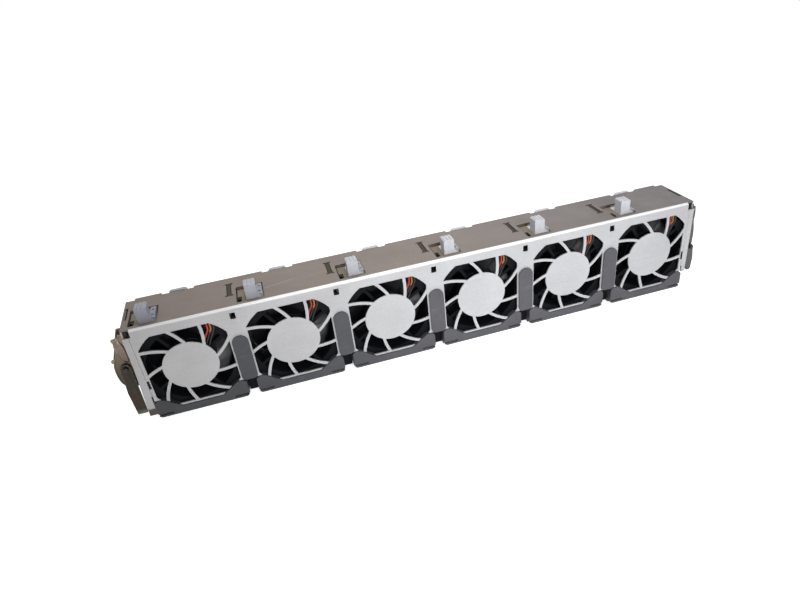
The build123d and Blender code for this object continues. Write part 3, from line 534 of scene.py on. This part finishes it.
class WingEdgeOperator(bpy.types.Operator):
    """Roll the rim of each wing's front leaf and emboss the leaf"""

    bl_idname = "fanbracket.wing_edges"
    bl_label = "Wing rims and embosses"
    OUTLINE = (
        (0.10, 1.0), (0.26, 0.90), (0.50, 0.75), (0.68, 0.63), (0.93, 0.49),
        (1.0, 0.38), (1.0, 0.27), (0.95, 0.15), (0.82, 0.07), (0.55, 0.0),
    )
    TILT = 0.12

    def execute(self, context):
        spring = bpy.data.materials["wing_steel"]
        for side, s in SIDES.items():
            low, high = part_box(f"{side}_wing")
            face = (low.x if s > 0 else -high.x) + 0.001
            reach = (high.x if s > 0 else -low.x) - face
            rise = high.z - 0.0015 - low.z
            rim = self.rim(context, f"{side}_wing_rim", [
                (s * (face + u * reach - 0.0005), low.y + 0.0004, low.z + v * rise) for u, v in self.OUTLINE])
            centre = Vector((s * (face + 0.22 * reach), low.y + 0.0006, low.z + 0.70 * rise))
            dome = self.dome(centre, reach, s * self.TILT)
            bead = self.bead(centre, reach, s * self.TILT)
            pick(rim)
            dome.select_set(True)
            bead.select_set(True)
            bpy.ops.object.join()
            bpy.ops.object.shade_smooth()
            rim.data.materials.clear()
            rim.data.materials.append(spring)
            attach(rim, "bracket")
        return {"FINISHED"}

    def rim(self, context, name, points):
        """Round bead along a smooth line, as a mesh."""
        curve = bpy.data.curves.new(name, "CURVE")
        curve.dimensions = "3D"
        curve.bevel_depth = 0.0007
        curve.bevel_resolution = 3
        curve.use_fill_caps = True
        spline = curve.splines.new("NURBS")
        spline.points.add(len(points) - 1)
        spline.order_u = 3
        spline.use_endpoint_u = True
        for point, place in zip(spline.points, points):
            point.co = (*place, 1)
        rim = bpy.data.objects.new(name, curve)
        context.scene.collection.objects.link(rim)
        pick(rim)
        bpy.ops.object.convert(target="MESH")
        return context.view_layer.objects[name]

    def dome(self, centre, reach, tilt):
        """Shallow oval emboss that stands out of the leaf."""
        deselect()
        bpy.ops.mesh.primitive_uv_sphere_add(segments=40, ring_count=20, radius=1.0, location=centre)
        dome = bpy.context.object
        dome.scale = (0.30 * reach, 0.0022, 0.0095)
        dome.rotation_euler = (0, tilt, 0)
        settle(dome)
        return dome

    def bead(self, centre, reach, tilt):
        """Raised line round the foot of the emboss."""
        deselect()
        bpy.ops.mesh.primitive_torus_add(
            major_radius=1.0, minor_radius=0.08, major_segments=64, minor_segments=10, location=centre)
        bead = bpy.context.object
        bead.scale = (0.31 * reach, 0.0098, 0.0075)
        bead.rotation_euler = (radians(90), tilt, 0)
        settle(bead)
        return bead


class PlasticOperator(bpy.types.Operator):
    """Finish the carriers, dividers, rails, towers and thumb tabs"""

    bl_idname = "fanbracket.plastic"
    bl_label = "Slate and light plastic"
    TOWER_RIGHT = -0.0162

    def execute(self, context):
        look = context.scene.fan_plastic
        # Painted shade: slate carriers and pads darker towards the left end.
        slate_left_shade = shade_towards_end((0.010, 0.014, 0.014), 0.95)
        slate = finish_of("carrier_slate", look.slate, "moulded_grain", 0.55, bump=0.25, edge=0.0004,
                          marks=(slate_left_shade,))
        pads = finish_of("slate_pads", look.slate, "moulded_grain", 0.55, bump=0.25, edge=0.0004,
                         marks=(pad_marks, slate_left_shade))
        # Painted shade: towers and keying blocks darker and bluer towards the left end.
        tower_left_shade = shade_towards_end((0.18, 0.19, 0.235), 0.95)
        light = finish_of("tower_light", look.light, "moulded_grain", 0.45, bump=0.1, marks=(tower_left_shade,))
        key = finish_of("key_light", look.key, "moulded_grain", 0.45, bump=0.1, marks=(tower_left_shade,))
        deck = finish_of("receptacle_deck", look.deck, "moulded_grain", 0.6, bump=0.1, marks=(deck_gap_shade,),
                         specular=0.15)
        # Painted shade: behind the pads the divider web is black and its top in the slots dark olive,
        # standing for the shade between carriers and in the slots.
        dark = finish_of("web_painted_shade", look.black, "moulded_grain", 0.7, bump=0.2, specular=0.1)
        tab_shade = finish_of("slot_tab_shade", (0.050, 0.046, 0.032), "moulded_grain", 0.6, bump=0.2, specular=0.15)
        pad_back = SHEET_FRONT + TOUCH
        for n in DIVIDERS:
            mesh = wear(f"divider_{n}", pads, dark, tab_shade)
            for face in mesh.polygons:
                face.material_index = int(face.center.y > pad_back) * (2 if face.center.z > FAN_TOP else 1)
        wear("end_rails", slate)
        for n in FANS:
            wear(f"carrier_{n}", slate)
            wear(f"latch_{n}", light)
            mesh = wear(f"connector_{n}", light, deck, key)
            tower_right = BAY[n].x + self.TOWER_RIGHT
            for face in mesh.polygons:
                low = face.center.z < SHEET_UNDER + TOUCH
                face.material_index = 1 if low else 2 * int(face.center.x > tower_right + TOUCH)
        return {"FINISHED"}


class FanOperator(bpy.types.Operator):
    """Finish the fan frames and motors"""

    bl_idname = "fanbracket.fans"
    bl_label = "Fan frames"

    def execute(self, context):
        look = context.scene.fan_plastic
        black = finish_of("fan_frame_black", look.black, "moulded_grain", 0.6, bump=0.1, specular=0.08)
        core = finish_of("stator_steel", (0.3, 0.3, 0.3), "zinc_grain", 0.4, metallic=0.8)
        for n in FANS:
            wear(f"housing_{n}", black)
            wear(f"impeller_{n}", black)
            wear(f"motor_{n}", core)
        return {"FINISHED"}


class ImpellerOperator(bpy.types.Operator):
    """Model the impellers: hub cup with moulded rings and helical blades"""

    bl_idname = "fanbracket.impellers"
    bl_label = "Impellers"

    def execute(self, context):
        look = context.scene.fan_wheel
        black = finish_of("impeller_black", context.scene.fan_plastic.black, "moulded_grain", 0.36, bump=0.05,
                          edge=0.0002, specular=0.4)
        low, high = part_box("impeller_1")
        hub = self.hub(look, high.y, low.y)
        blade = self.blade(look, (low.y + high.y) / 2)
        parts = [hub]
        for k in range(look.blades):
            parts.append(copy_of(blade, f"blade_{k}"))
            parts[-1].rotation_euler = (0, radians(360) * k / look.blades, 0)
            settle(parts[-1])
        bpy.data.objects.remove(blade)
        deselect()
        for part in parts:
            part.select_set(True)
        context.view_layer.objects.active = hub
        bpy.ops.object.join()
        hub.data.materials.clear()
        hub.data.materials.append(black)
        bpy.ops.object.shade_smooth_by_angle(angle=radians(35))
        for n in FANS:
            wheel = copy_of(hub, f"fan_wheel_{n}")
            wheel.location = (BAY[n].x, 0, BAY[n].z)
            settle(wheel)
            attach(wheel, f"rotor_{n}")
            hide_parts(f"impeller_{n}")
        bpy.data.objects.remove(hub)
        return {"FINISHED"}

    def hub(self, look, back, front):
        """Cup that is open to the motor, with two moulded rings and a dimple on its closed end."""
        deselect()
        shoulder, wall, end_wall, mouth_set = 0.0012, 0.0018, 0.0032, 0.0006
        flat = look.hub_radius - shoulder
        bpy.ops.mesh.primitive_circle_add(
            vertices=72, radius=flat, fill_type="NGON", location=(0, back, 0), rotation=(radians(-90), 0, 0))
        cup = bpy.context.object
        cup.name = "fan_wheel"
        settle(cup)
        select_faces(cup, lambda face: True)
        bpy.ops.mesh.select_mode(type="EDGE")
        for drop in (0.0004, 0.0008):
            self.skirt(-drop, (flat + drop) / flat)
        self.skirt(front - back + shoulder + mouth_set, 1.0)
        self.skirt(0.0, (look.hub_radius - wall) / look.hub_radius)
        self.skirt(back - front - mouth_set - end_wall, 1.0)
        bpy.ops.mesh.edge_face_add()
        bpy.ops.object.mode_set(mode="OBJECT")
        for inset, step in ((0.0022, -0.0003), (0.0008, 0.0003), (0.0055, -0.0003), (0.0008, 0.0003)):
            self.ring(cup, inset, step)
        select_faces(cup, lambda face: True)
        bpy.ops.mesh.normals_make_consistent(inside=False)
        bpy.ops.object.mode_set(mode="OBJECT")
        return cup

    def skirt(self, move, grow):
        """Draws the open edge on along the shaft and out from it."""
        bpy.ops.mesh.extrude_region_move(TRANSFORM_OT_translate={"value": (0, move, 0)})
        bpy.ops.transform.resize(value=(grow, 1, grow), center_override=(0, 0, 0))

    def ring(self, cup, inset, step):
        """Insets the closed end and steps it in or out."""
        end = max(cup.data.polygons, key=lambda face: (len(face.vertices) > 4, face.center.y)).index
        select_faces(cup, lambda face: face.index == end)
        bpy.ops.mesh.inset(thickness=inset, depth=0)
        bpy.ops.mesh.inset(thickness=0.0002, depth=step)
        bpy.ops.object.mode_set(mode="OBJECT")

    def blade(self, look, mid):
        """One blade: a rib on the hub drawn round the shaft on a screw line."""
        bite = 0.0008
        steps = 28
        root = look.hub_radius - bite
        deselect()
        bpy.ops.mesh.primitive_grid_add(x_subdivisions=8, y_subdivisions=1, size=1)
        blade = bpy.context.object
        blade.name = "blade"
        pick(blade)
        bpy.ops.object.mode_set(mode="EDIT")
        bpy.ops.mesh.select_mode(type="VERT")
        bpy.ops.mesh.select_all(action="DESELECT")
        bpy.ops.object.mode_set(mode="OBJECT")
        for vertex in blade.data.vertices:
            vertex.select = vertex.co.y > 0
        bpy.ops.object.mode_set(mode="EDIT")
        bpy.ops.mesh.delete(type="VERT")
        bpy.ops.object.mode_set(mode="OBJECT")
        blade.scale = (look.tip_radius - root, 1, 1)
        blade.location = ((root + look.tip_radius) / 2, mid - look.depth / 2 + 0.5, 0)
        settle(blade)
        sweep = blade.modifiers.new("sweep", "SCREW")
        sweep.axis = "Y"
        sweep.angle = -look.wrap
        sweep.screw_offset = look.depth
        sweep.steps = steps
        sweep.render_steps = steps
        skin = blade.modifiers.new("skin", "SOLIDIFY")
        skin.thickness = look.thickness
        skin.offset = 0
        soft = blade.modifiers.new("soft", "BEVEL")
        soft.width = 0.0003
        soft.segments = 2
        apply_modifiers(blade)
        return blade


class ScrewOperator(bpy.types.Operator):
    """Drive the four screws that hold each fan in its carrier"""

    bl_idname = "fanbracket.screws"
    bl_label = "Fan screws"
    REACH = 0.025
    HEAD_RADIUS = 0.0023
    HEAD_HEIGHT = 0.0012

    def execute(self, context):
        steel = finish_of("screw_steel", (0.09, 0.088, 0.085), "zinc_grain", 0.32, metallic=0.9)
        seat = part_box("housing_1")[1].y + 0.0015
        screw = self.screw(seat)
        screw.data.materials.append(steel)
        for n in FANS:
            heads = []
            for a in (-1, 1):
                for b in (-1, 1):
                    head = copy_of(screw, f"screw_{n}_{len(heads)}")
                    head.location = (BAY[n].x + a * self.REACH, 0, BAY[n].z + b * self.REACH)
                    head.rotation_euler = (0, radians(25 * a + 40 * b), 0)
                    settle(head)
                    heads.append(head)
            deselect()
            for head in heads:
                head.select_set(True)
            context.view_layer.objects.active = heads[0]
            bpy.ops.object.join()
            heads[0].name = f"fan_screws_{n}"
            bpy.ops.object.shade_smooth_by_angle(angle=radians(35))
            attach(heads[0], f"fan_{n}")
        bpy.data.objects.remove(screw)
        return {"FINISHED"}

    def screw(self, seat):
        """Pan head with a cross recess, its axis along Y."""
        deselect()
        bpy.ops.mesh.primitive_cylinder_add(
            vertices=40, radius=self.HEAD_RADIUS, depth=self.HEAD_HEIGHT,
            location=(0, seat + self.HEAD_HEIGHT / 2, 0), rotation=(radians(-90), 0, 0))
        head = bpy.context.object
        settle(head)
        select_faces(head, lambda face: face.normal.y > 0.9)
        bpy.ops.mesh.bevel(offset=0.0006, segments=4, affect="EDGES")
        bpy.ops.object.mode_set(mode="OBJECT")
        for turn in (0, 90):
            bpy.ops.mesh.primitive_cube_add(size=1, location=(0, seat + self.HEAD_HEIGHT, 0))
            cutter = bpy.context.object
            cutter.scale = (0.0028, 0.0014, 0.0005)
            cutter.rotation_euler = (0, radians(turn), 0)
            settle(cutter)
            cut = head.modifiers.new("recess", "BOOLEAN")
            cut.operation = "DIFFERENCE"
            cut.object = cutter
            apply_modifiers(head)
            bpy.data.objects.remove(cutter)
        return head


class LeadOperator(bpy.types.Operator):
    """Colour the three leads and the contact block of each fan"""

    bl_idname = "fanbracket.leads"
    bl_label = "Leads"
    FOOT_X, FOOT_PITCH, FOOT_Z = 0.0100, 0.0017, 0.0105
    RISE_X, RISE_PITCH, CLIMB = 0.0170, 0.0020, 0.0125
    LANE_Y, LANE_PITCH = -0.0090, 0.0015
    BLOCK_RIGHT = -0.0134
    LEAD_WIDTH = 0.0012

    def execute(self, context):
        look = context.scene.fan_plastic
        jackets = [
            finish_of("lead_red", (0.50, 0.035, 0.02), "moulded_grain", 0.35),
            finish_of("lead_yellow", (0.34, 0.175, 0.045), "moulded_grain", 0.35, marks=(lead_foot_shade,)),
            finish_of("lead_black", (0.012, 0.012, 0.014), "moulded_grain", 0.35),
        ]
        block = finish_of("contact_block", look.light, "moulded_grain", 0.45)
        for n in FANS:
            mesh = wear(f"leads_{n}", *jackets, block)
            for face in mesh.polygons:
                face.material_index = self.jacket_at(face.center - Vector((BAY[n].x, 0, 0)))
        return {"FINISHED"}

    def jacket_at(self, point):
        """Which lead a face belongs to: leads fan out up the front, then run side by side across the top."""
        if point.x < self.BLOCK_RIGHT:
            return 3
        if point.z > FAN_TOP and point.y > FAN_FRONT + 0.002:
            if point.x > self.RISE_X - self.LEAD_WIDTH:
                return self.lead_at(point.x, self.RISE_X, self.RISE_PITCH)
            return self.lead_at(point.y, self.LANE_Y, self.LANE_PITCH)
        climb = min(1.0, max(0.0, (point.z - BAY[1].z - self.FOOT_Z) / self.CLIMB))
        first = self.FOOT_X + (self.RISE_X - self.FOOT_X) * climb
        pitch = self.FOOT_PITCH + (self.RISE_PITCH - self.FOOT_PITCH) * climb
        return self.lead_at(point.x, first, pitch)

    def lead_at(self, place, first, pitch):
        """Number of the nearest of three leads that lie side by side."""
        return min(2, max(0, round((place - first) / pitch)))


def seen_rays(tree):
    """1 for rays that see the white surroundings: straight, in a reflection or through a clear surface."""
    rays = tree.nodes.new("ShaderNodeLightPath")
    mirrored = maths(tree, "MAXIMUM", rays.outputs["Is Glossy Ray"], rays.outputs["Is Transmission Ray"])
    return maths(tree, "MAXIMUM", rays.outputs["Is Camera Ray"], mirrored)


class StageOperator(bpy.types.Operator):
    """Lay the pale floor, hang the lamps and set the camera"""

    bl_idname = "fanbracket.stage"
    bl_label = "Stage"
    CAMERA_AT = (-0.1029, -0.3763, 0.2700)
    AHEAD = (0.1794, 0.8347, -0.5207)
    RIGHT = (0.9572, -0.2704, -0.1035)
    FLOOR_GLOW = 0.72

    def execute(self, context):
        self.lay_floor(context)
        self.light(context)
        self.aim(context)
        context.scene.view_settings.view_transform = "Standard"
        return {"FINISHED"}

    def lay_floor(self, context):
        """Wide pale floor that shows white to the camera."""
        deselect()
        bpy.ops.mesh.primitive_plane_add(size=8.0)
        floor = context.object
        floor.name = "floor"
        pale = bpy.data.materials.new("pale_floor")
        pale.use_nodes = True
        tree = pale.node_tree
        surface = tree.nodes["Principled BSDF"]
        surface.inputs["Base Color"].default_value = (*context.scene.fan_stage.floor, 1)
        surface.inputs["Roughness"].default_value = 0.9
        surface.inputs["Specular IOR Level"].default_value = 0.0
        surface.inputs["Emission Color"].default_value = (1, 1, 1, 1)
        glow = maths(tree, "MULTIPLY", seen_rays(tree), self.FLOOR_GLOW)
        tree.links.new(glow, surface.inputs["Emission Strength"])
        floor.data.materials.append(pale)

    def light(self, context):
        """Even sky with a white surround, and three soft lamps."""
        world = bpy.data.worlds.new("studio")
        world.use_nodes = True
        tree = world.node_tree
        even = tree.nodes["Background"]
        even.inputs["Color"].default_value = (0.96, 0.98, 1.0, 1)
        even.inputs["Strength"].default_value = context.scene.fan_stage.sky
        white = tree.nodes.new("ShaderNodeBackground")
        white.inputs["Color"].default_value = (1, 1, 1, 1)
        mix = tree.nodes.new("ShaderNodeMixShader")
        tree.links.new(seen_rays(tree), mix.inputs["Fac"])
        tree.links.new(even.outputs["Background"], mix.inputs[1])
        tree.links.new(white.outputs["Background"], mix.inputs[2])
        tree.links.new(mix.outputs["Shader"], tree.nodes["World Output"].inputs["Surface"])
        context.scene.world = world
        for name, place, aim, size, beam, power, colour in (
            ("key", (0.11, -0.62, 0.32), (0.035, 0, 0.04), 0.40, 55, 0.48, (0.97, 0.98, 1.0)),
            ("fill", (-0.75, -0.70, 0.55), (0, 0, 0.04), 0.60, 160, 0.40, (1.0, 0.95, 0.88)),
            ("top", (0.02, 0.18, 0.62), (0.01, 0, 0.04), 0.40, 110, 0.80, (1.0, 0.99, 0.97)),
        ):
            bpy.ops.object.light_add(type="AREA", location=place)
            lamp = context.object
            lamp.name = name
            lamp.data.size = size
            lamp.data.spread = radians(beam)
            lamp.data.energy = power
            lamp.data.color = colour
            lamp.rotation_euler = (Vector(aim) - Vector(place)).to_track_quat("-Z", "Y").to_euler()

    def aim(self, context):
        """Camera in the place from which the photograph was taken."""
        bpy.ops.object.camera_add()
        camera = context.object
        camera.name = "camera"
        camera.data.lens = context.scene.fan_stage.lens
        camera.data.sensor_width = 36.0
        camera.data.clip_start = 0.01
        ahead = Vector(self.AHEAD).normalized()
        right = Vector(self.RIGHT).normalized()
        turn = Matrix((right, right.cross(ahead), -ahead)).transposed()
        camera.matrix_world = Matrix.Translation(self.CAMERA_AT) @ turn.to_4x4()
        context.scene.camera = camera


class FanBracketPanel(bpy.types.Panel):
    """Lists the steps that finish the fan bracket"""

    bl_idname = "VIEW3D_PT_fan_bracket"
    bl_label = "Fan bracket"
    bl_space_type = "VIEW_3D"
    bl_region_type = "UI"
    bl_category = "Fan bracket"

    def draw(self, context):
        for step in OPERATORS:
            self.layout.operator(step.bl_idname)


OPERATORS = (SheetOperator, WingEdgeOperator, PlasticOperator, FanOperator, ImpellerOperator, ScrewOperator,
             LeadOperator, StageOperator)
LOOKS = {"fan_sheet": SheetLook, "fan_plastic": PlasticLook, "fan_wheel": FanLook, "fan_stage": StageLook}


def register():
    for cls in (*LOOKS.values(), *OPERATORS, FanBracketPanel):
        bpy.utils.register_class(cls)
    for name, cls in LOOKS.items():
        setattr(bpy.types.Scene, name, bpy.props.PointerProperty(type=cls))


def unregister():
    for name in LOOKS:
        delattr(bpy.types.Scene, name)
    for cls in reversed((*LOOKS.values(), *OPERATORS, FanBracketPanel)):
        bpy.utils.unregister_class(cls)


def main():
    register()
    bpy.ops.fanbracket.sheet()
    bpy.ops.fanbracket.wing_edges()
    bpy.ops.fanbracket.plastic()
    bpy.ops.fanbracket.fans()
    bpy.ops.fanbracket.impellers()
    bpy.ops.fanbracket.screws()
    bpy.ops.fanbracket.leads()
    bpy.ops.fanbracket.stage()


if __name__ == "__main__":
    main()
